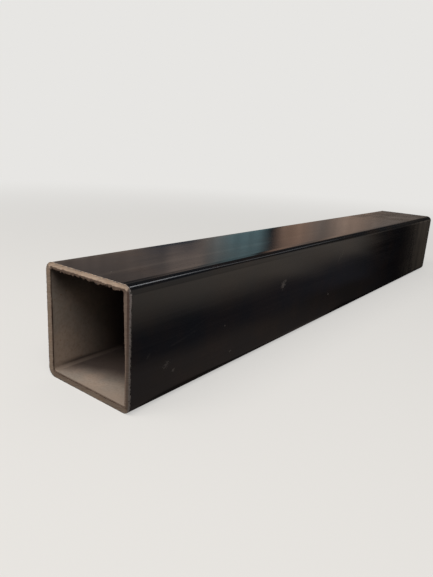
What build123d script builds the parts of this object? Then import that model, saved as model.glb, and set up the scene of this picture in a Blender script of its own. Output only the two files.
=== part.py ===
from build123d import *
import os

# A length of square steel tube. One strip of steel is rolled round four corners
# until its edges meet, and the edges are welded together along the whole length.
# The outside of the weld is planed flush. The inside of it is left as it set.
#
# Millimetres. +Y runs along the tube, +X is to its right and +Z is up.
# The origin is on the underside, below the middle of the tube.

# ---- driving sizes -------------------------------------------------------------

side = 100.0  # outside width and height of the section
wall = 5.0  # thickness of the strip
inside_radius = 2.5  # radius of the bore's corners
length = 750.0  # from one sawn end to the other

bead_width = 4.5  # weld bead on the inside, where it meets the wall
bead_height = 1.2  # how far the bead stands into the bore
bead_offset = 12.0  # the weld's place, to the right of the top wall's middle
bead_toe_radius = 0.8  # hollow along both sides of the bead
bead_root = 1.0  # how far the bead's outline reaches back into the wall

# ---- derived sizes -------------------------------------------------------------

outside_radius = inside_radius + wall  # the strip keeps its thickness round a corner
bore = side - 2 * wall
middle_height = side / 2
ceiling = side - wall  # underside of the top wall
bead_left = bead_offset - bead_width / 2
bead_right = bead_offset + bead_width / 2

os.makedirs("parts", exist_ok=True)


# ---- square_tube ---------------------------------------------------------------
# The section is drawn across the tube, on the XZ plane, and extruded from there to
# both ends. Both radii of a corner share one centre, so the wall is as thick there
# as in the flats.

with BuildPart() as square_tube:
    with BuildSketch(Plane.XZ) as section:
        with Locations((0, middle_height)):
            RectangleRounded(side, side, outside_radius)
            RectangleRounded(bore, bore, inside_radius, mode=Mode.SUBTRACT)

        # The weld bead hangs from the ceiling of the bore: a low round crown that
        # runs out into the wall through a small hollow at each side.
        with BuildLine() as bead_outline:
            ThreePointArc(
                (bead_left, ceiling),
                (bead_offset, ceiling - bead_height),
                (bead_right, ceiling),
            )
            Polyline(
                (bead_right, ceiling),
                (bead_right, ceiling + bead_root),
                (bead_left, ceiling + bead_root),
                (bead_left, ceiling),
            )
        make_face()
        ceiling_corners = section.vertices().group_by(Axis.Y)[-2].sort_by(Axis.X)
        bead_toes = ceiling_corners[1:-1]
        fillet(bead_toes, radius=bead_toe_radius)
    extrude(amount=length / 2, both=True)

square_tube.part.label = "square_tube"
export_step(square_tube.part, "parts/square_tube.step")
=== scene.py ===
# %% [markdown]
# # A length of square steel tube
#
# The object is one offcut of welded square tube, lying on a floor. The solid model already
# has the whole form: four walls, rolled corners, an open bore and the weld bead inside.
# What is left for Blender is what makes it look like steel:
#
# - the dark skin that hot rolling leaves, smooth enough to mirror the room
# - the dull brown scale inside the bore
# - the bright and dull bands on the sawn ends, and the ragged lips that the saw pushes out
# - the rough, blued bead along the inside of the weld
#
# The walls stay the solid's own. The sawn ends and the bead get new pieces over them.

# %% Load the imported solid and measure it
from math import radians

import bmesh
import bpy
from mathutils import Matrix, Vector


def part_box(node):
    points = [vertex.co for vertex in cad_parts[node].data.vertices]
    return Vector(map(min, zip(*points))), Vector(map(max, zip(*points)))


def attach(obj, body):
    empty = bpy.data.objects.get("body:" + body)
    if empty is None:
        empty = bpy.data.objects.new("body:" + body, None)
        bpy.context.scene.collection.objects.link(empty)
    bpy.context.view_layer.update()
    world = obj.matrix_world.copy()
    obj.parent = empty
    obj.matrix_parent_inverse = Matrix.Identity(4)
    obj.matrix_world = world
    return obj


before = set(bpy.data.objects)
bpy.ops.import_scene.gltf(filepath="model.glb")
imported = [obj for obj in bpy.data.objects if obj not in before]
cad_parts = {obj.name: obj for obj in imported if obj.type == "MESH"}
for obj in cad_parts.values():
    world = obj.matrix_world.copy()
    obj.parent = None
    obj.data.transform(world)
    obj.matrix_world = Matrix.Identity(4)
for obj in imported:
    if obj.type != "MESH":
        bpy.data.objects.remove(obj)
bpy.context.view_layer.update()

MM = 0.001
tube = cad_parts["square_tube"]
tube_low, tube_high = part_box("square_tube")
side = tube_high.x - tube_low.x
length = tube_high.y - tube_low.y
middle = tube_low.z + side / 2
half_side = side / 2
half_length = length / 2
print(f"tube: {side / MM:.0f} mm square and {length / MM:.0f} mm long")

# %% [markdown]
# A few sizes of the section aren't in its box, so they are written here once. The strip
# keeps its thickness round each corner, so the outside radius follows from the other two.

# %% Sizes of the section
wall = 5 * MM
bore_corner = 2.5 * MM
outside_corner = bore_corner + wall
half_bore = half_side - wall
ceiling = tube_high.z - wall
bead_x = 12 * MM  # the weld's place, to the right of the top wall's middle
bead_width = 4.5 * MM
bead_height = 1.2 * MM
print(f"bore: {2 * half_bore / MM:.0f} mm, outside corner: {outside_corner / MM:.0f} mm")

# %% [markdown]
# ## Camera
#
# The camera stands low on the tube's right and looks along it, so one sawn end is close
# and large and the other runs away into the distance. It leans a few degrees, as a camera
# held in the hand does. Turning it about its own line of sight first, then tipping it,
# then swinging it round keeps the three angles apart, and each is easy to change alone.

# %% Camera
camera_place = Vector((0.28965, -0.59714, 0.19264))
camera_swing = 36.925  # degrees from +Y towards -X
camera_tip = 15.649  # degrees below the horizon
camera_lean = 3.651  # degrees about the line of sight
lens_length = 30.428  # millimetres, behind a sensor of 36 mm

camera_data = bpy.data.cameras.new("camera")
camera_data.lens = lens_length
camera_data.sensor_width = 36
camera_data.clip_start = 0.01
camera = bpy.data.objects.new("camera", camera_data)
bpy.context.scene.collection.objects.link(camera)
camera.matrix_world = (
    Matrix.Translation(camera_place)
    @ Matrix.Rotation(radians(camera_swing), 4, "Z")
    @ Matrix.Rotation(radians(90 - camera_tip), 4, "X")
    @ Matrix.Rotation(radians(camera_lean), 4, "Z")
)
bpy.context.scene.camera = camera
bpy.context.scene.view_settings.view_transform = "Standard"
print("camera stands at", [round(v, 3) for v in camera_place])

# %% [markdown]
# ## Helpers for node trees
#
# A material is a tree of nodes joined by links. Writing each node as one call keeps the
# tree readable from top to bottom. `put` adds a node and fills its sockets, each with a
# plain value or with another node's output. The others are short names for the nodes that
# come back most often: arithmetic, fading from one value to another, mixing two colours,
# and noise of a given grain size. All of them add to `tree`, which is always the tree that
# is being built. Every material starts and ends in the same way, so that has two helpers
# too.

# %% Helpers that add nodes
def put(kind, fill=None, **settings):
    """Adds a node of that kind, sets its options, and fills its sockets."""
    node = tree.nodes.new(kind)
    for name, value in settings.items():
        setattr(node, name, value)
    for key, value in (fill or {}).items():
        if isinstance(value, bpy.types.NodeSocket):
            tree.links.new(value, node.inputs[key])
        else:
            node.inputs[key].default_value = value
    return node


def calc(operation, first, second=0.0, third=0.0):
    """One sum of arithmetic on two values, or on three for multiply and add."""
    values = {0: first, 1: second, 2: third}
    return put("ShaderNodeMath", values, operation=operation).outputs[0]


def times(first, second):
    """Two values multiplied."""
    return calc("MULTIPLY", first, second)


def plus(first, second):
    """Two values added."""
    return calc("ADD", first, second)


def minus(first, second):
    """The first value less the second."""
    return calc("SUBTRACT", first, second)


def unsigned(value):
    """A value without its sign."""
    return calc("ABSOLUTE", value)


# %% Helpers that fade and mix
def fade(value, start, end, low=0.0, high=1.0):
    """Goes softly from low to high while value goes from start to end."""
    fill = {"Value": value, "From Min": start, "From Max": end, "To Min": low, "To Max": high}
    return put("ShaderNodeMapRange", fill, interpolation_type="SMOOTHSTEP").outputs["Result"]


def between(value, start, full, fading, end):
    """Rises from start to full, stays at 1, and falls again from fading to end."""
    return times(fade(value, start, full), fade(value, end, fading))


def spread(noise, low, high):
    """Soft noise stretched from low to high. Most of it lies between 0.3 and 0.7."""
    return fade(noise, 0.3, 0.7, low, high)


def blend(share, first, second):
    """Two values mixed, with that share of the second."""
    return put("ShaderNodeMix", {0: share, 2: first, 3: second}, data_type="FLOAT").outputs[0]


def mix(share, first, second, way="MIX"):
    """Two colours mixed, with that share of the second."""
    node = put("ShaderNodeMix", {0: share, 6: first, 7: second}, data_type="RGBA")
    node.blend_type = way
    return node.outputs[2]


def tinted(first, second):
    """Two colours multiplied, or a colour made darker or lighter by a value."""
    return mix(1.0, first, second, "MULTIPLY")


def colour(red, green, blue):
    """An opaque colour in linear light."""
    return (red, green, blue, 1.0)


# %% Helpers for places and directions
def vector(operation, *values):
    """One sum of arithmetic on directions or places, which gives another one."""
    return put("ShaderNodeVectorMath", dict(enumerate(values)), operation=operation).outputs[0]


def length_of(way):
    """How long a direction is."""
    return put("ShaderNodeVectorMath", {0: way}, operation="LENGTH").outputs["Value"]


def agreement(first, second):
    """How far two directions agree: 1 if they are one, 0 if square, -1 if opposite."""
    fill = {0: first, 1: second}
    return put("ShaderNodeVectorMath", fill, operation="DOT_PRODUCT").outputs["Value"]


def parts(way):
    """A place or direction taken apart into X, Y and Z."""
    return put("ShaderNodeSeparateXYZ", {0: way}).outputs


# %% Helpers for noise
def even(size):
    """The same size along x, y and z."""
    return (size, size, size)


def grain(place, size, shift=0.0, detail=2.0):
    """Noise between 0 and 1 whose grains have that size, in metres along x, y and z."""
    fill = {"Vector": place, "Location": even(shift), "Scale": [1 / s for s in size]}
    mapped = put("ShaderNodeMapping", fill).outputs[0]
    fill = {"Vector": mapped, "Scale": 1.0, "Detail": detail}
    return put("ShaderNodeTexNoise", fill).outputs["Fac"]


def sway(place, size, reach, **more):
    """Noise that goes half of its reach to either side of zero."""
    return times(minus(grain(place, size, **more), 0.5), reach)


# %% Helpers that start and finish a material
def new_material(name):
    """A material with an empty tree."""
    material = bpy.data.materials.new(name)
    material.use_nodes = True
    material.node_tree.nodes.clear()
    return material, material.node_tree


def finish_material(height, fill, **bump_fill):
    """Adds relief from a height in metres, the shader with its sockets, and the output."""
    bump_fill.update({"Height": height, "Distance": 1.0, "Strength": 1.0})
    fill.update({"Normal": put("ShaderNodeBump", bump_fill).outputs[0], "IOR": 1.5})
    surface = put("ShaderNodeBsdfPrincipled", fill).outputs[0]
    put("ShaderNodeOutputMaterial", {"Surface": surface})


# %% [markdown]
# An effect that several finishes share is a node group: a small tree with named inputs and
# an output that works like one node. These helpers open a new group, close it once its
# nodes are in, and place it in a material.

# %% Helpers for node groups
def open_group(name, vectors, values, gives):
    """Starts a node group with those inputs and one output. Returns its inner inputs too."""
    group = bpy.data.node_groups.new(name, "ShaderNodeTree")
    for label in vectors:
        group.interface.new_socket(label, in_out="INPUT", socket_type="NodeSocketVector")
    for label in values:
        group.interface.new_socket(label, in_out="INPUT", socket_type="NodeSocketFloat")
    group.interface.new_socket(gives, in_out="OUTPUT", socket_type="NodeSocketFloat")
    return group, group.nodes.new("NodeGroupInput").outputs


def close_group(value):
    """Links the value that the group gives, and returns the finished group."""
    put("NodeGroupOutput", {0: value})
    print("made the group", tree.name)
    return tree


def place_group(group, fill):
    """Places a group, with these values, and returns what it gives."""
    return put("ShaderNodeGroup", fill, node_tree=group).outputs[0]


# %% [markdown]
# ## Floor and backdrop
#
# The floor is a plain pale sheet. It is lit by the lamp, and glows a little by itself, as
# a light table does, so the tube's shadow stays soft. Further out the glow takes over, and
# there the floor has the same colour as the background, so no horizon shows.
#
# Dark polished steel shows little of its own colour and a lot of what stands round it. A
# Light Path node tells the floor which ray is asking. The camera sees the pale sheet. A
# reflection sees darker bands along the tube, like the shaded floor round a real one, and
# without them the steel would look like grey plastic.

# %% Floor
pale = colour(0.80, 0.79, 0.77)
floor_size = 60
floor_drop = 0.1 * MM
glow_from, glow_full = 0.3, 2.2  # metres from the tube's middle
least_glow = 0.62

bpy.ops.object.select_all(action="DESELECT")
bpy.ops.mesh.primitive_plane_add(size=floor_size, location=(0, 0, tube_low.z - floor_drop))
floor = bpy.context.object
floor.name = "floor"

paper, tree = new_material("pale_floor")
floor.data.materials.append(paper)
spot = put("ShaderNodeNewGeometry").outputs["Position"]
glow_share = fade(length_of(spot), glow_from, glow_full, least_glow, 1.0)
lit = put("ShaderNodeBsdfDiffuse", {"Color": pale}).outputs[0]
glow = put("ShaderNodeEmission", {"Color": pale}).outputs[0]
seen = put("ShaderNodeMixShader", {0: glow_share, 1: lit, 2: glow}).outputs[0]
print("floor at", round(tube_low.z - floor_drop, 4))

# %% Floor: bands that a reflection sees
# They lie along the tube, from its side outwards, and dim along it. All places are metres.
near_band, near_dims = colour(0.20, 0.165, 0.15), (-0.38, 0.10)
middle_band, middle_from = colour(0.050, 0.050, 0.062), (0.088, 0.125)
outer_band, outer_dims = colour(0.37, 0.32, 0.275), (-0.05, 0.45)
outer_from, brighter_from = (0.150, 0.235), (0.20, 0.29)
near_end_share, outer_end_share, brighter = 0.15, 0.62, 1.42
gone = colour(0.008, 0.007, 0.008)
fill_light = colour(0.07, 0.068, 0.065)
wobble_size, wobble_reach = 0.2, 0.05

apart = parts(spot)
forward = apart["Y"]
wobble = sway(spot, even(wobble_size), wobble_reach, detail=1.0)
sideways = plus(unsigned(apart["X"]), wobble)
near_tone = mix(fade(forward, *near_dims, 1.0, near_end_share), gone, near_band)
outer_tone = mix(fade(forward, *outer_dims, 1.0, outer_end_share), gone, outer_band)
outer_tone = tinted(outer_tone, fade(sideways, *brighter_from, 1.0, brighter))
bands = mix(fade(sideways, *middle_from), near_tone, middle_band)
bands = mix(fade(sideways, *outer_from), bands, outer_tone)

# A shadow lies across the floor beyond the tube's middle, at a slant.
shadow_slope, shadow_edge = 2.42, (-0.03, 0.24)
slant = times(minus(sideways, half_side), shadow_slope)
bands = mix(fade(minus(forward, slant), *shadow_edge), bands, gone)

# No light gets in where the tube stands, so its lowest edge mirrors a dark line.
foot_edge, foot_dark = (half_side + 9 * MM, half_side + 1 * MM), 0.85
bands = mix(fade(sideways, *foot_edge, 0.0, foot_dark), bands, gone)
mirrored = put("ShaderNodeEmission", {"Color": bands}).outputs[0]
soft = put("ShaderNodeEmission", {"Color": fill_light}).outputs[0]

ray = put("ShaderNodeLightPath").outputs
unseen = put("ShaderNodeMixShader", {0: ray["Is Glossy Ray"], 1: soft, 2: mirrored})
final = {0: ray["Is Camera Ray"], 1: unseen.outputs[0], 2: seen}
final = put("ShaderNodeMixShader", final)
put("ShaderNodeOutputMaterial", {"Surface": final.outputs[0]})
print("bands on the floor: 3, the outermost brighter from", brighter_from[0], "m")

# %% [markdown]
# ## Light
#
# One wide soft lamp hangs high in front of the near end. It lights the sawn end and the
# top, and it falls so steeply into the bore that only the first stretch of the bore's floor
# and walls is bright. The world around gives the rest.

# %% Lamp
mouth = Vector((0, tube_low.y, middle))
lamp_place = Vector((0.12, -1.02, 1.35))
lamp_data = bpy.data.lights.new("key_lamp", "AREA")
lamp_data.shape = "RECTANGLE"
lamp_data.size = 1.8
lamp_data.size_y = 0.9
lamp_data.energy = 20  # watts
lamp_data.color = (1.0, 0.95, 0.9)
lamp = bpy.data.objects.new("key_lamp", lamp_data)
bpy.context.scene.collection.objects.link(lamp)
lamp.location = lamp_place
lamp.rotation_euler = (mouth - lamp_place).to_track_quat("-Z", "Y").to_euler()
print("lamp:", lamp.name, "at", [round(v, 2) for v in lamp_place])

# %% [markdown]
# The world has three faces too. The camera sees the pale backdrop, matt surfaces get a
# soft fill that is stronger from above, and reflections see a ring of coloured cards
# round the horizon, under a dark ceiling. The cards are a colour ramp over the compass
# angle, with the sort of colours that stand about in a workshop.
#
# High above each end of the tube is a narrow window, dimmer and leaning to the right
# further out. It draws the thin bright line along the rounded edges, which tells the eye
# that the corners are rolled and smooth.

# %% World: directions
world = bpy.data.worlds.new("studio")
bpy.context.scene.world = world
world.use_nodes = True
tree = world.node_tree
tree.nodes.clear()
wobble_size, wobble_reach = (0.10, 0.10, 0.04), radians(2.4)
toward = put("ShaderNodeTexCoord").outputs["Generated"]
apart = parts(toward)
compass = calc("ARCTAN2", times(apart["X"], -1.0), apart["Y"])
compass = plus(compass, sway(toward, wobble_size, wobble_reach))
turn = {"Value": compass, "From Min": radians(-180), "From Max": radians(180)}
turn = put("ShaderNodeMapRange", turn).outputs["Result"]
print("compass angles are counted to the left of +Y")

# %% World: cards round the horizon
# (where a card starts and ends, in degrees to the left of +Y, and its colour)
cards = [
    (-175, -130, (0.20, 0.18, 0.17)),
    (-115, -75, (0.42, 0.37, 0.33)),
    (-65, -23, (0.38, 0.335, 0.29)),
    (-19.5, 10, (0.03, 0.028, 0.027)),
    (14, 19, (0.205, 0.170, 0.148)),
    (20.8, 23.2, (0.39, 0.28, 0.22)),
    (24.8, 26.2, (0.19, 0.155, 0.135)),
    (27.5, 29.2, (0.38, 0.245, 0.180)),
    (30.4, 31.6, (0.012, 0.015, 0.019)),
    (32.3, 34.9, (0.145, 0.232, 0.254)),
    (39.5, 43, (0.26, 0.21, 0.185)),
    (46, 58, (0.235, 0.185, 0.160)),
    (70, 110, (0.10, 0.10, 0.105)),
    (125, 170, (0.27, 0.26, 0.27)),
]
ramp = put("ShaderNodeValToRGB", {0: turn})
stops = ramp.color_ramp.elements
stops.remove(stops[1])
stops[0].position = 0.0
stops[0].color = colour(*cards[0][2])
for start_angle, end_angle, tint in cards:
    for angle in (start_angle, end_angle):
        stops.new((angle + 180) / 360).color = colour(*tint)
upright = (0.018, 0.018, 0.3)  # the size of the streaks that make the cards uneven
streaky = grain(toward, upright, shift=7.0, detail=3.0)
cards_seen = tinted(ramp.outputs["Color"], spread(streaky, 0.8, 1.2))

# Low down to the left, part of the horizon is cooler and darker, and above it is warmer.
# (the angles where a patch starts, is full, fades and ends, its height, and its colour)
low_patches = [
    ((38.5, 41, 44, 48), (0.214, 0.200), (0.062, 0.068, 0.084)),
    ((38.2, 39.6, 42.2, 43.6), (0.194, 0.208), (0.40, 0.31, 0.26)),
]
for angles, heights, tint in low_patches:
    patch = between(compass, *[radians(angle) for angle in angles])
    patch = times(patch, fade(apart["Z"], *heights))
    cards_seen = mix(patch, cards_seen, colour(*tint))
print("cards round the horizon:", len(cards))

# %% World: ceiling and windows
# Heights and places are parts of a direction: 0 is level, and 1 is straight up or endways.
ceiling_tone = colour(0.018, 0.017, 0.018)
ceiling_tilt = (-0.1, 0.35)  # from left to right, over which the ceiling starts higher
starts, is_full = (0.245, 0.50), (0.330, 0.60)  # its heights at the left and at the right
dark_from = fade(apart["X"], *ceiling_tilt, *starts)
dark_to = fade(apart["X"], *ceiling_tilt, *is_full)
above = fade(apart["Z"], dark_from, dark_to)
reflected = mix(above, cards_seen, ceiling_tone)

window_light = colour(3.85, 3.95, 4.1)
window_angle, window_lean = radians(90.4), radians(10)
window_half_width, window_blur = radians(4.6), radians(2.2)
window_ends = (0.42, 0.52, 0.88, 0.92)
lean_from, bright_to, far_share = (0.74, 0.84), (0.785, 0.66), 0.17
roll = calc("ARCTAN2", apart["Z"], apart["X"])
endward = unsigned(apart["Y"])
leaning = fade(endward, *lean_from, window_angle, window_angle - window_lean)
roll = unsigned(minus(roll, leaning))
inside = fade(roll, window_half_width + window_blur, window_half_width - window_blur)
inside = times(inside, between(endward, *window_ends))
inside = times(inside, fade(endward, *bright_to, far_share, 1.0))
reflected = mix(inside, reflected, window_light)

overhead, overhead_tone = (0.86, 0.95), colour(0.5, 0.5, 0.5)
reflected = mix(fade(apart["Z"], *overhead), reflected, overhead_tone)
fill_low, fill_high, fill_full = colour(0.06, 0.058, 0.057), colour(0.40, 0.39, 0.37), 0.8
fill_seen = mix(fade(apart["Z"], 0.0, fill_full), fill_low, fill_high)
ray = put("ShaderNodeLightPath").outputs
tone = mix(ray["Is Glossy Ray"], fill_seen, reflected)
tone = mix(ray["Is Camera Ray"], tone, pale)
back = put("ShaderNodeBackground", {"Color": tone})
put("ShaderNodeOutputWorld", {"Surface": back.outputs[0]})
print("window at", round(window_angle, 2), "radians round the tube")

# %% [markdown]
# ## Shared effects
#
# Six small effects come back in the finishes below, so each is a node group.
#
# - *streaks*: long marks that the rolls leave along the tube
# - *specks*: scattered dots, for rust, dust and bright grains
# - *bloom*: soft-edged patches that cover part of a surface
# - *scuff*: one rubbed mark at a given place
# - *wall depth*: how far a point lies inside the tube's outside surface
# - *wall tone*: one value for each of the four walls, with soft changes at the corners

# %% Group: streaks
tree, given = open_group("streaks", ["Place"], ["Across", "Along", "Shift"], "Streaks")
across = calc("DIVIDE", 1.0, given["Across"])
along = calc("DIVIDE", 1.0, given["Along"])
stretch = put("ShaderNodeCombineXYZ", {0: across, 1: along, 2: across}).outputs[0]
moved = vector("MULTIPLY_ADD", given["Place"], stretch, given["Shift"])
fill = {"Vector": moved, "Scale": 1.0, "Detail": 3.0, "Roughness": 0.6}
noise = put("ShaderNodeTexNoise", fill).outputs["Fac"]
streaks_group = close_group(noise)


def streaks(place, across, along, shift):
    """Streaks of that width and length, in metres."""
    fill = {"Place": place, "Across": across, "Along": along, "Shift": shift}
    return place_group(streaks_group, fill)


# %% Group: specks
least_size, core = 0.4, 0.6  # of the radius: the smallest speck, and the part with no fade
tree, given = open_group("specks", ["Place"], ["Spacing", "Radius", "Share"], "Specks")
scale = calc("DIVIDE", 1.0, given["Spacing"])
fill = {"Vector": given["Place"], "Scale": scale, "Randomness": 1.0}
cells = put("ShaderNodeTexVoronoi", fill).outputs
chance = put("ShaderNodeSeparateColor", {0: cells["Color"]}).outputs
reach = calc("DIVIDE", given["Radius"], given["Spacing"])
reach = times(reach, plus(chance[1], least_size))
speck = fade(cells["Distance"], reach, times(reach, core))
kept = calc("LESS_THAN", chance[0], given["Share"])
specks_group = close_group(times(speck, kept))


def specks(place, spacing, radius, share):
    """Specks of that spacing and radius, in metres. That share of them is kept."""
    fill = {"Place": place, "Spacing": spacing, "Radius": radius, "Share": share}
    return place_group(specks_group, fill)


# %% Group: bloom
tree, given = open_group("bloom", ["Place"], ["Size", "Cover", "Edge"], "Bloom")
scale = calc("DIVIDE", 1.0, given["Size"])
fill = {"Vector": given["Place"], "Scale": scale, "Detail": 5.0, "Roughness": 0.62}
cloud = put("ShaderNodeTexNoise", fill).outputs["Fac"]
level = minus(1.0, given["Cover"])
low = minus(level, given["Edge"])
high = plus(level, given["Edge"])
bloom_group = close_group(fade(cloud, low, high))


def patches(place, size, cover, edge):
    """Patches of that size, in metres, with the share that they cover and their softness."""
    fill = {"Place": place, "Size": size, "Cover": cover, "Edge": edge}
    return place_group(bloom_group, fill)


# %% Group: scuff
crumb, scuff_edge = 1.1 * MM, (1.1, 0.4)  # the grains that break it up, and where it fades
takes = ["Length", "Width", "Ragged"]
tree, given = open_group("scuff", ["Place", "Centre", "Along"], takes, "Scuff")
away = vector("SUBTRACT", given["Place"], given["Centre"])
lengthwise = agreement(away, given["Along"])
distance = length_of(away)
square = minus(times(distance, distance), times(lengthwise, lengthwise))
crosswise = calc("SQRT", calc("MAXIMUM", square, 0.0))
long_part = calc("DIVIDE", unsigned(lengthwise), times(given["Length"], 0.5))
cross_part = calc("DIVIDE", crosswise, times(given["Width"], 0.5))
reach = times(long_part, long_part)
reach = calc("SQRT", calc("MULTIPLY_ADD", cross_part, cross_part, reach))
broken = sway(given["Place"], even(crumb), given["Ragged"], detail=3.0)
scuff_group = close_group(fade(plus(reach, broken), *scuff_edge))

# %% Group: wall depth
tree, given = open_group("wall_depth", ["Place"], [], "Depth")
apart = parts(given["Place"])
straight = half_side - outside_corner
sideways = calc("MAXIMUM", minus(unsigned(apart["X"]), straight), 0.0)
upwards = unsigned(minus(apart["Z"], middle))
upwards = calc("MAXIMUM", minus(upwards, straight), 0.0)
corner_way = put("ShaderNodeCombineXYZ", {0: sideways, 1: upwards}).outputs[0]
inward = minus(outside_corner, length_of(corner_way))
depth_group = close_group(inward)

# %% Group: wall tone
soft_edge = 1.5 * MM
tree, given = open_group("wall_tone", ["Place"], ["Top", "Left", "Right", "Bottom"], "Tone")
apart = parts(given["Place"])
up = minus(apart["Z"], middle)
sideness = minus(unsigned(apart["X"]), unsigned(up))
is_side = fade(sideness, -soft_edge, soft_edge)
is_right = calc("GREATER_THAN", apart["X"], 0.0)
is_top = calc("GREATER_THAN", up, 0.0)
sides = blend(is_right, given["Left"], given["Right"])
caps = blend(is_top, given["Bottom"], given["Top"])
walls_group = close_group(blend(is_side, caps, sides))

# %% [markdown]
# ## The steel of the tube
#
# One material covers the whole solid, because the solid is one mesh. A mask worked out from
# the place of each point tells the outside from the bore: a surface that lies deeper than
# half the wall belongs to the bore.

# %% Steel: outside and bore
steel, tree = new_material("rolled_steel")
place = put("ShaderNodeTexCoord").outputs["Object"]
apart = parts(place)
across = apart["X"]
along = apart["Y"]
up = minus(apart["Z"], middle)
depth = place_group(depth_group, {"Place": place})
in_bore = calc("GREATER_THAN", depth, wall / 2)
print("the bore's finish starts", wall / 2 / MM, "mm inside the outside surface")

# %% [markdown]
# **The outside skin.** Hot rolling leaves a thin blue-black oxide. It is never one colour:
# the strip cools unevenly, so soft patches lean to blue-grey or to brown, and the rolls
# draw fine streaks along it. Each patch is a little darker or lighter than the next, but
# the whole stays very dark, because most of what the eye sees on it is reflected.

# %% Steel: colour of the outside
blue_black = colour(0.0064, 0.0074, 0.0096)
soft_black = colour(0.0076, 0.0070, 0.0070)
brown_black = colour(0.0210, 0.0130, 0.0096)
worn_grey = colour(0.060, 0.053, 0.047)

fine_streaks = streaks(place, 1.4 * MM, 160 * MM, 3.0)
broad_streaks = streaks(place, 14 * MM, 400 * MM, 9.0)
brown_patch = patches(place, 70 * MM, 0.45, 0.12)
blue_patch = patches(place, 110 * MM, 0.5, 0.1)
skin = mix(blue_patch, soft_black, blue_black)
skin = mix(times(brown_patch, 0.6), skin, brown_black)
skin = tinted(skin, spread(fine_streaks, 0.82, 1.2))
dust = specks(place, 9 * MM, 0.45 * MM, 0.22)
skin = mix(times(dust, 0.35), skin, worn_grey)
print("outside: blue, black and brown patches, streaks and dust")

# %% [markdown]
# **Marks of use.** A few marks have a place of their own: a pale scrape above the middle of
# the right wall, small nicks lower down, and long faint rubs where the tube slid over
# others. Each row of the list places the scuff group once. The numbers are millimetres.

# %% Steel: marks of use
# (centre, direction, length, width, how ragged, how pale)
marks = [
    ((50, -163.2, 63.6), (0, -0.62, -0.78), 8, 6.4, 4.6, 0.56),
    ((50, -160.6, 66.6), (0, -0.9, -0.43), 6, 3.4, 4.0, 0.45),
    ((50, -47.7, 31.4), (0, 1, 0), 3.4, 3.0, 0.8, 0.55),
    ((50, -251.3, 15.6), (0, 0.9, 0.43), 3.6, 1.6, 1.4, 0.5),
    ((50, -337.7, 29.4), (0, 0.8, 0.6), 8, 5.0, 3.2, 0.26),
    ((50, -329.2, 22.3), (0, 0.9, 0.43), 4.5, 2.2, 2.2, 0.38),
    ((50, -19.3, 79.0), (0, 0.38, 0.92), 15, 1.6, 1.2, 0.35),
    ((50, -26.5, 74.0), (0, 0.38, 0.92), 15, 1.4, 1.2, 0.28),
    ((50, -319.9, 46.2), (0, 0.986, 0.166), 40, 1.6, 3.8, 0.05),
    ((50, -300.0, 54.0), (0, 0.97, 0.24), 26, 1.2, 3.8, 0.035),
    ((50, -357.7, 42.4), (0, 0.8, 0.6), 5, 2.6, 2.8, 0.08),
    ((50, -262.1, 43.3), (0, 1, 0), 2.6, 1.6, 0.8, 0.38),
    ((-32.6, -189.9, 100), (0, 1, 0), 3.0, 3.0, 1.0, 0.6),
    ((10, -359, 100), (0.3, 0.95, 0), 3.0, 1.5, 1.0, 0.6),
    ((-50, 118, 58), (0, 0.93, 0.37), 34, 2.0, 2.8, 0.5),
    ((-50, -210, 34), (0, 0.98, -0.2), 60, 1.4, 2.6, 0.35),
    ((-50, -92, 71), (0, 0.4, 0.92), 9, 3.0, 1.8, 0.7),
    ((14, 205, 100), (0.2, 0.98, 0), 48, 1.6, 2.6, 0.35),
]
marked = 0.0
for centre, direction, mark_length, mark_width, ragged, strength in marks:
    fill = {"Place": place, "Centre": Vector(centre) * MM, "Ragged": ragged}
    fill.update({"Length": mark_length * MM, "Width": mark_width * MM})
    fill["Along"] = Vector(direction).normalized()
    scuff = place_group(scuff_group, fill)
    marked = calc("MAXIMUM", marked, times(scuff, strength))
mark_tone = colour(0.21, 0.19, 0.18)
skin = mix(marked, skin, mark_tone)

# Dust lies in blotches on the far end of the top.
wall_face = (half_side - 1.0 * MM, half_side - 0.2 * MM)
dust_tone, dust_from = colour(0.112, 0.092, 0.077), (110 * MM, 300 * MM)
dusted = times(patches(place, 42 * MM, 0.54, 0.14), fade(along, *dust_from, 0.0, 0.7))
dusted = times(dusted, fade(up, *wall_face))
skin = mix(dusted, skin, dust_tone)

# The last stretch of the right wall is dull and pale from handling.
rub_tone, rub_from = colour(0.135, 0.115, 0.094), (220 * MM, 377 * MM)
rub_ragged, wipe_size = 30 * MM, (30 * MM, 7 * MM, 60 * MM)
rub_edge = times(grain(place, even(60 * MM), shift=4.0), rub_ragged)
rubbed = times(fade(plus(along, rub_edge), *rub_from), fade(across, *wall_face))
wiped = fade(grain(place, wipe_size, shift=11.0), 0.35, 0.65, 0.35, 0.9)
skin = mix(times(rubbed, wiped), skin, rub_tone)
print("marks of use:", len(marks))

# %% [markdown]
# **The bore.** No roll touches the inside, so it is dull, rough and brown-grey, mottled
# with light rust. The mottling has two sizes: broad clouds and small grains. Specks of
# darker rust lie on top.

# %% Steel: colour of the bore
bore_brown = colour(0.418, 0.326, 0.262)
bore_grey = colour(0.335, 0.288, 0.244)
bore_dark = colour(0.150, 0.108, 0.082)
bore_rust = colour(0.240, 0.115, 0.060)
# The deepest tone is painted shade, used deep in the bore and under its ceiling.
bore_painted_shade = colour(0.052, 0.037, 0.033)

bore_cloud = patches(place, 26 * MM, 0.5, 0.16)
bore_grain = patches(place, 2.4 * MM, 0.42, 0.2)
bore = mix(bore_cloud, bore_brown, bore_grey)
bore = mix(times(bore_grain, 0.35), bore, bore_dark)
bore_spots = specks(place, 5 * MM, 0.7 * MM, 0.2)
bore = mix(times(bore_spots, 0.5), bore, bore_rust)
print("bore: brown and grey clouds, grains and specks of rust")
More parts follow.
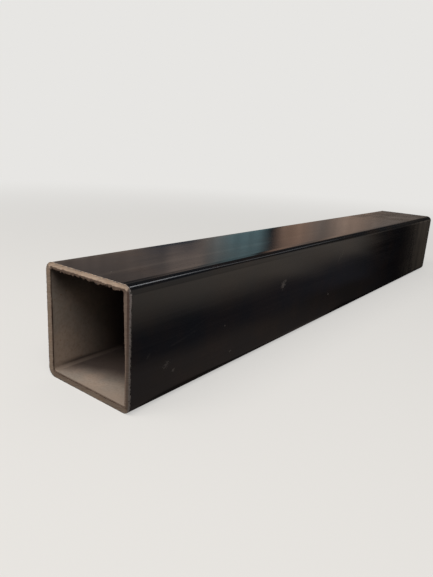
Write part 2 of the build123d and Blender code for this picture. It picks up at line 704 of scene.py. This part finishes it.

# %% Steel: pale dust, and painted light and shade in the bore
# Near both mouths the bore's floor is paler. That is pale saw dust, and also a painted pool of
# the light that falls in there. Deeper in, the bore darkens to a painted shade. On the floor
# this painted shade starts sooner on the left half, where the left wall's shadow falls.
dust_and_light_tone, dust_and_light_reach, dust_and_light_share = colour(0.325, 0.260, 0.213), (24 * MM, 9 * MM), 0.75
depth_shade_from, floor_shade_from, floor_shade_share = (12 * MM, 92 * MM), (21 * MM, 53 * MM), 0.93
floor_level = (8 * MM - half_bore, 2 * MM - half_bore)
shade_from, shade_share, deep_ragged = 10 * MM, 0.40, 14 * MM
uneven = times(grain(place, even(30 * MM), shift=6.0), deep_ragged)
from_end = plus(minus(half_length, unsigned(along)), uneven)
on_floor = fade(up, *floor_level)
shaded = calc("MAXIMUM", minus(shade_from, across), 0.0)
floor_from_end = calc("MULTIPLY_ADD", shaded, shade_share, from_end)
floor_painted_shade = fade(floor_from_end, *floor_shade_from, 0.0, floor_shade_share)
painted_depth_shade = calc("MAXIMUM", fade(from_end, *depth_shade_from), times(on_floor, floor_painted_shade))
dust_and_light_pool = times(on_floor, fade(floor_from_end, *dust_and_light_reach, 0.0, dust_and_light_share))
bore = mix(dust_and_light_pool, bore, dust_and_light_tone)
bore = mix(painted_depth_shade, bore, bore_painted_shade)
print("saw dust reaches", round(dust_and_light_reach[0] / MM), "mm into the bore")

# %% Steel: painted shade under the bore's ceiling, and a painted highlight in its lower left corner
# Painted shade: the upper part of the bore goes dark under its ceiling, where little light
# reaches, less so near the mouths.
ceiling_level, ceiling_share = (half_bore - 34 * MM, half_bore - 4 * MM), 0.8
mouth_reach, mouth_share = (4 * MM, 16 * MM), 0.3
ceiling_painted_shade = fade(up, *ceiling_level, 0.0, ceiling_share)
ceiling_painted_shade = times(ceiling_painted_shade, fade(from_end, *mouth_reach, mouth_share, 1.0))
bore = mix(ceiling_painted_shade, bore, bore_painted_shade)

# Painted highlight: a pale line follows the rounded bottom left corner inwards, where it catches
# the light from the mouth, and fades.
corner_start = half_bore - bore_corner
corner_edge = (0.6 * MM - corner_start, -0.6 * MM - corner_start)
line_reach, line_shares = (14 * MM, 100 * MM), (0.26, 0.04)
corner_painted_highlight = times(fade(up, *corner_edge), fade(across, *corner_edge))
bore = mix(times(corner_painted_highlight, fade(from_end, *line_reach, *line_shares)), bore, bore_brown)
print("the corner's pale line fades over", round(line_reach[1] / MM), "mm")

# %% [markdown]
# Beside the weld the heat has blued the steel. The band follows the weld along the whole
# tube, strong inside and only just seen outside, where the weld was planed flush.

# %% Steel: the band beside the weld
heat_blue, heat_reach, heat_ragged = colour(0.050, 0.056, 0.070), (7 * MM, 1.5 * MM), 4 * MM
planed_reach = (2.6 * MM, 2 * MM)
beside_weld = unsigned(minus(across, bead_x))
heated = fade(minus(beside_weld, times(broad_streaks, heat_ragged)), *heat_reach)
heated = times(heated, calc("GREATER_THAN", up, half_bore - 3 * MM))
bore = mix(times(heated, 0.75), bore, heat_blue)
planed = times(fade(beside_weld, *planed_reach), calc("GREATER_THAN", up, half_side - 1 * MM))
skin = mix(times(planed, 0.25), skin, worn_grey)
print("heat band beside the weld:", round(heat_reach[0] / MM), "mm to each side")

# %% [markdown]
# **Round corners.** The solid's corners are rows of narrow flats, and a mirror finish shows
# every one of them as a line. The solid's mesh isn't to be changed, so the direction of a
# truly round corner is worked out from the place instead, and the relief starts from that.
# It points the other way in the bore, and the cut ends keep their own direction.

# %% Steel: round corners
def beyond_flat(place_part):
    """How far a point lies past the flat part of a wall, with its sign."""
    past = minus(unsigned(place_part), half_side - outside_corner)
    past = calc("MAXIMUM", past, 0.0)
    return times(past, calc("SIGN", place_part))


round_way = put("ShaderNodeCombineXYZ", {0: beyond_flat(across), 2: beyond_flat(up)})
round_way = vector("NORMALIZE", round_way.outputs[0])
facing = put("ShaderNodeNewGeometry").outputs["True Normal"]
outward = calc("SIGN", agreement(round_way, facing))
round_way = vector("MULTIPLY", round_way, outward)
on_cut = calc("GREATER_THAN", unsigned(parts(facing)["Y"]), 0.5)
round_normal = mix(on_cut, round_way, facing)
print("corners shade as round, radius", round(outside_corner / MM, 2), "mm")

# %% [markdown]
# **Shine and relief.** The skin is smooth, and smoothest where the rolls pressed hardest,
# so the roughness follows the streaks. The walls of a rolled tube aren't quite flat, and
# that bends every reflection a little. One Bump node takes the sum of all relief, with
# every height in metres.

# %% Steel: shine and relief
fine_rough = fade(fine_streaks, 0.35, 0.75, 0.0, 0.05)
skin_rough = plus(spread(broad_streaks, 0.075, 0.13), fine_rough)
for worn, added in ((marked, 0.35), (rubbed, 0.3), (dusted, 0.3)):
    skin_rough = calc("MULTIPLY_ADD", worn, added, skin_rough)
bore_rough = fade(bore_cloud, 0.0, 1.0, 0.6, 0.75)

waves = grain(place, (60 * MM, 110 * MM, 60 * MM), shift=2.0, detail=1.0)
dents = grain(place, (24 * MM, 38 * MM, 24 * MM), shift=8.0, detail=1.0)
pores = grain(place, (0.5 * MM, 0.9 * MM, 0.5 * MM))
ripple = streaks(place, 9 * MM, 60 * MM, 5.0)
wave_height = 0.10 * MM
fine_relief = [
    (ripple, 0.006 * MM),
    (dents, 0.022 * MM),
    (fine_streaks, 0.0009 * MM),
    (pores, 0.0012 * MM),
]
# Each noise is 0.5 on average. Less that half, the fine relief fades out with no step.
fine_height = -0.5 * sum(height for noise, height in fine_relief)
for noise, height in fine_relief:
    fine_height = calc("MULTIPLY_ADD", noise, height, fine_height)

# The top and bottom walls drop a little towards their corners, and there the fine relief ends.
crown_from, crown_drop = (37.5 * MM, 43 * MM), 0.16 * MM
fine_until, least_fine = (41.5 * MM, 43.0 * MM), 0.08
flat_up, flat_across = unsigned(up), unsigned(across)
across_face = calc("MINIMUM", flat_across, flat_up)
on_cap = calc("GREATER_THAN", flat_up, flat_across)
crown = fade(across_face, *crown_from, 0.0, -1.0)
crown = times(crown, blend(on_cap, 0.0, crown_drop))
on_flat = fade(across_face, *fine_until, 1.0, least_fine)
skin_height = times(waves, wave_height)
skin_height = calc("MULTIPLY_ADD", fine_height, on_flat, skin_height)
skin_height = plus(skin_height, crown)
bore_height = plus(times(bore_grain, 0.05 * MM), times(pores, 0.04 * MM))
print("kinds of relief on the skin:", len(fine_relief) + 2)

# %% Steel: the finished material
steel_colour = mix(in_bore, skin, bore)
steel_rough = blend(in_bore, skin_rough, bore_rough)
steel_height = blend(in_bore, skin_height, bore_height)
fill = {"Base Color": steel_colour, "Roughness": steel_rough}
finish_material(steel_height, fill, Normal=round_normal)
for slot in tube.material_slots:
    slot.material = steel
print("steel material has", len(tree.nodes), "nodes")

# %% [markdown]
# ## The sawn ends
#
# A saw leaves no clean edge. It rolls the outside edge over, pushes a thin ragged lip into
# the bore, and draws fine lines across the cut. A lip stands out against the dark bore, so
# it has to be a real shape. Bump would only shade it.
#
# Each end gets a thin ring that stands a third of a millimetre proud of the cut, with its
# back sunk in the steel. It could be drawn as a curve with a profile, but lips need many
# small faces in the right places, and a mesh gives those directly: a flat box gets its
# rounded edges by a bevel, insets divide its face into bands, and bridging the front to the
# back opens the bore.

# %% Helpers for editing a mesh
def pick(piece):
    """Selects one piece and nothing else."""
    bpy.ops.object.select_all(action="DESELECT")
    piece.select_set(True)
    bpy.context.view_layer.objects.active = piece


def start_editing(piece):
    """Opens one piece in edit mode, with nothing else selected."""
    pick(piece)
    bpy.ops.object.mode_set(mode="EDIT")


def select_where(piece, kind, test):
    """Selects the faces or the edges of the edited piece for which the test holds."""
    bpy.ops.mesh.select_mode(type={"faces": "FACE", "edges": "EDGE"}[kind])
    bpy.ops.mesh.select_all(action="DESELECT")
    form = bmesh.from_edit_mesh(piece.data)
    for item in getattr(form, kind):
        if test(item):
            item.select_set(True)
    bmesh.update_edit_mesh(piece.data)


def span(edge):
    """The size of the box round an edge."""
    gap = edge.verts[1].co - edge.verts[0].co
    return Vector([abs(size) for size in gap])


# %% Sawn ends: the plain ring
ring_proud = 0.35 * MM  # how far the ring stands in front of the cut
ring_seat = 1.2 * MM  # how far it reaches back along the steel
ring_sunk = 0.05 * MM  # how far its back lies under the surface
corner_steps = 24
band_widths = [0.5 * MM, 0.7 * MM, 1.4 * MM, 1.6 * MM, 0.7 * MM]  # from the outside in
long_cuts = 240
rim_cuts = 3


def saw_ring(name, facing):
    """A ring over the cut that faces forward along y (1) or back (-1)."""
    front = facing * (half_length + ring_proud)
    back = facing * (half_length - ring_seat)
    low = Vector((-half_side + ring_sunk, min(front, back), tube_low.z + ring_sunk))
    high = Vector((half_side - ring_sunk, max(front, back), tube_high.z - ring_sunk))
    bpy.ops.object.select_all(action="DESELECT")
    bpy.ops.mesh.primitive_cube_add(size=1, location=(low + high) / 2, scale=high - low)
    bpy.ops.object.transform_apply(location=True, rotation=True, scale=True)
    ring = bpy.context.object
    ring.name = name
    start_editing(ring)
    select_where(ring, "edges", lambda edge: span(edge).y > ring_seat)
    radius = outside_corner - ring_sunk
    bpy.ops.mesh.bevel(offset=radius, segments=corner_steps, affect="EDGES")
    select_where(ring, "faces", lambda face: face.normal.y * facing > 0.9)
    for width in band_widths:
        bpy.ops.mesh.inset(thickness=width)
    select_where(ring, "faces", lambda face: face.normal.y * facing < -0.9)
    bpy.ops.mesh.inset(thickness=sum(band_widths))
    select_where(ring, "faces", is_middle)
    bpy.ops.mesh.bridge_edge_loops()
    select_where(ring, "edges", lambda edge: max(span(edge)) > 2 * outside_corner)
    bpy.ops.mesh.subdivide(number_cuts=long_cuts)
    select_where(ring, "edges", lambda edge: span(edge).y > ring_seat)
    bpy.ops.mesh.subdivide(number_cuts=rim_cuts)
    bpy.ops.object.mode_set(mode="OBJECT")
    return ring


def is_middle(face):
    """Whether a face's centre is on the tube's axis."""
    centre = face.calc_center_median()
    off_axis = Vector((centre.x, centre.z - middle)).length
    return abs(face.normal.y) > 0.9 and off_axis < wall


near_ring = saw_ring("near_sawn_end", -1)
far_ring = saw_ring("far_sawn_end", 1)
print("faces of a plain ring:", len(near_ring.data.polygons))

# %% [markdown]
# **Ragged lips.** A Displace modifier moves points by a texture. A vertex group tells it
# which points, and how much of the move each one takes. The weights come from a point's
# place: how deep it lies in the wall, how far forward it is, and which stretch of which
# wall it belongs to. Each pass below makes one group, one modifier, and applies it.

# %% Helpers for lips
def limit(value):
    """The value, kept between 0 and 1."""
    return min(max(value, 0.0), 1.0)


def depth_in_wall(place):
    """How far a point lies inside the tube's outside surface."""
    flat = half_side - outside_corner
    sideways = max(abs(place.x) - flat, 0.0)
    upwards = max(abs(place.z - middle) - flat, 0.0)
    return outside_corner - Vector((sideways, upwards)).length


def forward_share(place):
    """1 in front of the cut, falling to 0 at the ring's back."""
    behind = half_length - abs(place.y)
    return limit(1 - behind / ring_seat)


def on_wall(place, name):
    """Whether a point belongs to that wall."""
    sideways, upwards = place.x, place.z - middle
    if abs(sideways) > abs(upwards):
        return name == ("right" if sideways > 0 else "left")
    return name == ("top" if upwards > 0 else "bottom")


def stretch_share(place, name, start, end, soft):
    """1 along a stretch of one wall, falling to 0 past its ends. All are in millimetres."""
    if not on_wall(place, name):
        return 0.0
    where = place.x if name in ("top", "bottom") else place.z - middle
    past = max(start - where / MM, where / MM - end)
    return limit(1 - past / soft)


def push(piece, texture, height, direction, weight_of, level=0.0):
    """Moves a piece's points by a texture, as far as each point's weight allows."""
    group = piece.vertex_groups.new(name="moved")
    for vertex in piece.data.vertices:
        weight = weight_of(vertex.co)
        if weight > 0:
            group.add([vertex.index], weight, "REPLACE")
    pick(piece)
    bpy.ops.object.modifier_add(type="DISPLACE")
    step = piece.modifiers[-1]
    if texture:
        step.texture = texture
    step.texture_coords = "LOCAL"
    step.strength = height
    step.direction = direction
    step.mid_level = level
    step.vertex_group = group.name
    bpy.ops.object.modifier_apply(modifier=step.name)
    piece.vertex_groups.clear()


def clouds(name, size, depth, kind="SOFT_NOISE"):
    """A noise texture whose lumps have that size."""
    texture = bpy.data.textures.new(name, "CLOUDS")
    texture.noise_scale = size
    texture.noise_depth = depth
    texture.noise_type = kind
    return texture


# %% Sawn ends: edges rolled over and roughened
teeth = clouds("teeth", 1.5 * MM, 3)
crumbs = clouds("crumbs", 0.8 * MM, 2)
bites = clouds("bites", 1.6 * MM, 2)
bites.contrast = 3.4
outer_reach, inner_reach = 0.3 * MM, 1.05 * MM  # how far from its edge a lip is moved
inner_edge = sum(band_widths)


def outer_share(place):
    """1 on the ring's outside edge, falling to 0 towards its back."""
    return limit(1 - (depth_in_wall(place) - ring_sunk) / outer_reach) * forward_share(place)


def inner_share(place):
    """1 on the ring's edge in the bore, and a third of it one band further out."""
    short = inner_edge + ring_sunk - depth_in_wall(place)
    return limit(1 - short / inner_reach) * forward_share(place)


def clear_of_floor(place):
    """Less on the underside, so that no lip reaches the floor."""
    return 0.3 if on_wall(place, "bottom") else 1.0


for ring in (near_ring, far_ring):
    push(ring, crumbs, 0.45 * MM, "NORMAL", lambda p: outer_share(p) * clear_of_floor(p))
    push(ring, crumbs, 0.50 * MM, "NORMAL", inner_share)
    push(ring, teeth, 0.35 * MM, "Y", forward_share, level=0.5)
print("edges roughened on", near_ring.name, "and", far_ring.name)

# %% Sawn ends: lips that the saw pushed out
# (wall, start and end along it, how softly it ends, edge, direction, height), millimetres
near_lips = [
    ("right", 38, 46, 44, "inner", "X", -2.0),
    ("right", -46, 46, 4, "inner", "X", -0.2),
    ("left", -36, 14, 10, "inner", "X", 0.5),
    ("bottom", -40, 40, 10, "inner", "Z", 0.3),
    ("right", 37, 43, 4, "outer", "X", 0.5),
]
near_teeth = [
    ("right", 0, 46, 20, "inner", "X", -0.6),
    ("right", 34, 44, 4, "outer", "X", 0.7),
    ("right", -44, 4, 10, "outer", "X", 0.3),
]
near_bites = [
    ("top", -46, 46, 2, "inner", "Z", -1.5),
    ("top", 22, 42, 6, "inner", "Z", -0.7),
    ("right", -44, 44, 4, "outer", "X", 0.5),
    ("left", -44, 20, 6, "inner", "X", 0.5),
]
far_lips = [
    ("top", -46, 46, 10, "inner", "Z", -0.4),
    ("right", -46, 46, 10, "inner", "X", -0.3),
]
far_teeth = [
    ("top", -46, 46, 10, "inner", "Z", -1.0),
    ("right", -46, 46, 10, "inner", "X", -0.8),
    ("left", -46, 46, 10, "inner", "X", 0.8),
    ("bottom", -46, 46, 10, "inner", "Z", 0.6),
    ("top", -30, 20, 12, "outer", "Z", 0.5),
    ("right", -30, 40, 12, "outer", "X", 0.5),
]
edge_of = {"inner": inner_share, "outer": outer_share}


def push_all(ring, rows, texture, level):
    """Moves the ring's edges by each row in turn."""
    for name, start, end, soft, edge, direction, height in rows:

        def share(place):
            return edge_of[edge](place) * stretch_share(place, name, start, end, soft)

        push(ring, texture, height * MM, direction, share, level)


push_all(near_ring, near_lips, None, 0.0)
push_all(near_ring, near_teeth, teeth, 0.5)
push_all(near_ring, near_bites, bites, 0.5)
push_all(far_ring, far_lips, None, 0.0)
push_all(far_ring, far_teeth, teeth, 0.3)
for ring in (near_ring, far_ring):
    pick(ring)
    bpy.ops.object.shade_smooth_by_angle(angle=radians(40))
    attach(ring, "root")
print("lips on the near end:", len(near_lips) + len(near_teeth) + len(near_bites))

# %% [markdown]
# **The colour of a cut.** A cut goes dull within days. Here the top wall's cut is the palest
# and the right wall's is brown, because the saw dragged over it last. The wall tone group
# gives each wall its own value, and the wall depth group draws the bands: the top wall's
# cut has a dim band next to the bore, and the right wall's has a grey one along its
# outside edge. Fine lines follow the saw. Pits sit along the outside edge, and a few
# grains of fresh metal glint on both edges.

# %% Sawn steel: bands and tones
sawn, tree = new_material("sawn_steel")
place = put("ShaderNodeTexCoord").outputs["Object"]
apart = parts(place)
depth = place_group(depth_group, {"Place": place})
band_ragged, band_grains = 2.4 * MM, 3 * MM
depth_here = plus(depth, sway(place, even(band_grains), band_ragged, detail=3.0))


def wall_values(top, left, right, bottom):
    """The wall tone group with a value for each wall."""
    fill = {"Place": place, "Top": top, "Left": left, "Right": right, "Bottom": bottom}
    return place_group(walls_group, fill)


cut_pale = colour(0.610, 0.470, 0.365)
cut_warm = colour(0.575, 0.395, 0.278)
cut_grey = colour(0.195, 0.175, 0.168)
cut_brown = colour(0.125, 0.082, 0.060)
dragged_brown = colour(0.092, 0.055, 0.043)
thread_tone = colour(0.270, 0.196, 0.154)
warm_patch = patches(place, 6 * MM, 0.45, 0.12)
cut = mix(times(warm_patch, 0.6), cut_pale, cut_warm)
cut = tinted(cut, wall_values(1.22, 0.64, 0.27, 0.5))

# The cut is a little paler round one place near the middle of the top and bottom walls.
pale_at, pale_reach, pale_tints = 8 * MM, (4 * MM, 22 * MM), (1.09, 0.95)
from_pale = unsigned(minus(apart["X"], pale_at))
cut = tinted(cut, fade(from_pale, *pale_reach, *pale_tints))
drag_heights, drag_shares = (10 * MM, 90 * MM), (0.25, 1.0)
dragged = fade(apart["Z"], *drag_heights, *drag_shares)
dragged = times(dragged, wall_values(0.0, 0.0, 0.92, 0.0))
cut = mix(dragged, cut, dragged_brown)

# The dim band lies beside the bore, and the grey one along the outside edge.
dim_from, dim_blur = wall_values(2.9 * MM, wall, wall, 4.4 * MM), 0.7 * MM
dim_band = fade(depth_here, dim_from, plus(dim_from, dim_blur))
cut = mix(times(dim_band, 0.95), cut, cut_brown)
grey_to, grey_blur = wall_values(0.3 * MM, 0.5 * MM, 2.0 * MM, 0.9 * MM), 0.8 * MM
grey_band = fade(depth_here, grey_to, minus(grey_to, grey_blur))
grey_tone = tinted(cut_grey, fade(apart["Z"], 45 * MM, 80 * MM, 0.82, 1.16))
cut = mix(times(grey_band, 0.8), cut, grey_tone)

# A thread of brighter metal runs beside the bore, where the last stroke of the saw broke out.
thread = fade(depth, wall - 1.2 * MM, wall - 0.6 * MM)
thread = times(thread, wall_values(0.0, 0.25, 0.9, 0.2))
cut = mix(thread, cut, thread_tone)
print("bands and tones of the cut")

# %% Sawn steel: saw lines, pits and glints
saw_angle, saw_line = radians(14), (16 * MM, 4 * MM, 0.35 * MM)
outside_reach, bore_reach = (1.8 * MM, 0.6 * MM), (wall - 1.2 * MM, wall - 0.4 * MM)
turned = put("ShaderNodeMapping", {"Vector": place, "Rotation": (0, saw_angle, 0)})
saw_lines = grain(turned.outputs[0], saw_line)
cut = tinted(cut, spread(saw_lines, 0.78, 1.2))
near_outside, near_bore = fade(depth, *outside_reach), fade(depth, *bore_reach)

# Pits aren't round, so their places are shaken by a fine noise first.
pit_tone, glint_tone = colour(0.018, 0.015, 0.014), colour(0.50, 0.43, 0.36)
shake_grains, shake_reach = 0.9 * MM, 1.5 * MM
fill = {"Vector": place, "Scale": 1 / shake_grains, "Detail": 2.0}
shake = put("ShaderNodeTexNoise", fill).outputs["Color"]
pit_place = vector("MULTIPLY_ADD", shake, even(shake_reach), place)
pitted = times(specks(pit_place, 1.6 * MM, 0.7 * MM, 0.42), near_outside)
pitted = times(pitted, wall_values(0.35, 0.4, 1.0, 0.5))
cut = mix(pitted, cut, pit_tone)
on_edge = calc("MAXIMUM", near_outside, near_bore)
glinting = times(specks(place, 1.1 * MM, 0.3 * MM, 0.3), on_edge)
glinting = times(glinting, wall_values(0.5, 0.45, 0.85, 0.4))
cut = mix(glinting, cut, glint_tone)
print("saw lines, pits and glints")

# %% [markdown]
# The sides of the ring, behind the cut, belong to the skin and to the bore, so they go
# dark again. The cut itself stays rough, and only the glints are bare metal.

# %% Sawn steel: the sides of the ring, and the finished material
rim_black, rim_brown = colour(0.022, 0.019, 0.018), colour(0.130, 0.098, 0.078)
rim_from = (-0.15 * MM, 0.35 * MM)  # how far behind the cut
on_rim = fade(minus(half_length, unsigned(apart["Y"])), *rim_from)
cut = mix(on_rim, cut, mix(near_bore, rim_black, rim_brown))
cut_grains = grain(place, even(0.4 * MM), detail=3.0)
cut_height = plus(times(saw_lines, 0.05 * MM), times(cut_grains, 0.06 * MM))
cut_height = minus(cut_height, times(pitted, 0.15 * MM))
cut_rough = fade(glinting, 0.0, 0.5, 0.68, 0.4)
fill = {"Base Color": cut, "Roughness": cut_rough, "Metallic": times(glinting, 0.8)}
finish_material(cut_height, fill)
for ring in (near_ring, far_ring):
    ring.data.materials.append(sawn)
print("sawn steel material has", len(tree.nodes), "nodes")

# %% [markdown]
# ## The weld bead
#
# The strip's two edges melt together as they are pressed, and a little steel is squeezed
# out into the bore, where no tool planes it off. It sets as an uneven bead, blued by its
# own heat. The solid's bead is straight and smooth, so a rougher one lies over it. A
# cylinder along the tube, sunk in the wall until only its belly shows, has just the crown
# that a bead has. Bisect cuts the hidden part away.

# %% Weld bead: shape
seam_height = bead_height + 0.15 * MM
seam_half_width = bead_width / 2 + 0.25 * MM
seam_sunk = 0.3 * MM  # how far its hidden part reaches into the wall
seam_radius = (seam_half_width**2 + seam_height**2) / (2 * seam_height)
seam_centre = Vector((bead_x, 0, ceiling - seam_height + seam_radius))
seam_sides = 32
seam_cuts = 700

bpy.ops.object.select_all(action="DESELECT")
bpy.ops.mesh.primitive_cylinder_add(
    vertices=seam_sides,
    radius=seam_radius,
    depth=length - 2 * ring_proud,
    location=seam_centre,
    rotation=(radians(90), 0, 0),
)
bpy.ops.object.transform_apply(location=True, rotation=True, scale=True)
seam = bpy.context.object
seam.name = "inside_weld_seam"
start_editing(seam)
bpy.ops.mesh.select_all(action="SELECT")
cut_at = (0, 0, ceiling + seam_sunk)
bpy.ops.mesh.bisect(plane_co=cut_at, plane_no=(0, 0, 1), use_fill=True, clear_outer=True)
select_where(seam, "edges", lambda edge: span(edge).y > half_length)
bpy.ops.mesh.subdivide(number_cuts=seam_cuts)
bpy.ops.object.mode_set(mode="OBJECT")
print("faces of the bead:", len(seam.data.polygons))

# %% Weld bead: uneven crown
spatter = clouds("spatter", 1.4 * MM, 2)
surges = clouds("surges", 14 * MM, 1)
crown_depth = 0.6 * MM


def hanging_share(place):
    """1 on the bead's crown and 0 where it meets the wall."""
    return limit((ceiling - place.z) / crown_depth)


push(seam, surges, 0.25 * MM, "NORMAL", hanging_share)
push(seam, spatter, 0.2 * MM, "NORMAL", hanging_share)
bpy.ops.object.shade_smooth_by_angle(angle=radians(60))
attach(seam, "root")
print("the bead hangs", round((ceiling - min(v.co.z for v in seam.data.vertices)) / MM, 2), "mm")

# %% [markdown]
# The bead's colour runs from straw through brown to blue, as the heat left it. Bands cross
# it where the weld moved on in small steps.

# %% Weld bead: material
bead_blue = colour(0.060, 0.070, 0.095)
bead_brown = colour(0.085, 0.055, 0.040)
bead_straw = colour(0.17, 0.115, 0.075)
flash, tree = new_material("weld_flash")
place = put("ShaderNodeTexCoord").outputs["Object"]
heat_steps = streaks(place, 9 * MM, 1.6 * MM, 1.0)
heat_patch = patches(place, 16 * MM, 0.5, 0.16)
scale_patch = patches(place, 3 * MM, 0.4, 0.12)
bead_tone = mix(heat_patch, bead_blue, bead_brown)
bead_tone = mix(times(scale_patch, 0.5), bead_tone, bead_straw)
bead_tone = tinted(bead_tone, spread(heat_steps, 0.6, 1.3))
bead_relief = plus(times(heat_steps, 0.12 * MM), times(scale_patch, 0.04 * MM))
bead_rough = fade(scale_patch, 0.0, 1.0, 0.34, 0.6)
bead_metal = fade(scale_patch, 0.0, 1.0, 0.7, 0.1)
fill = {"Base Color": bead_tone, "Roughness": bead_rough, "Metallic": bead_metal}
finish_material(bead_relief, fill)
seam.data.materials.append(flash)
print("weld material has", len(tree.nodes), "nodes")
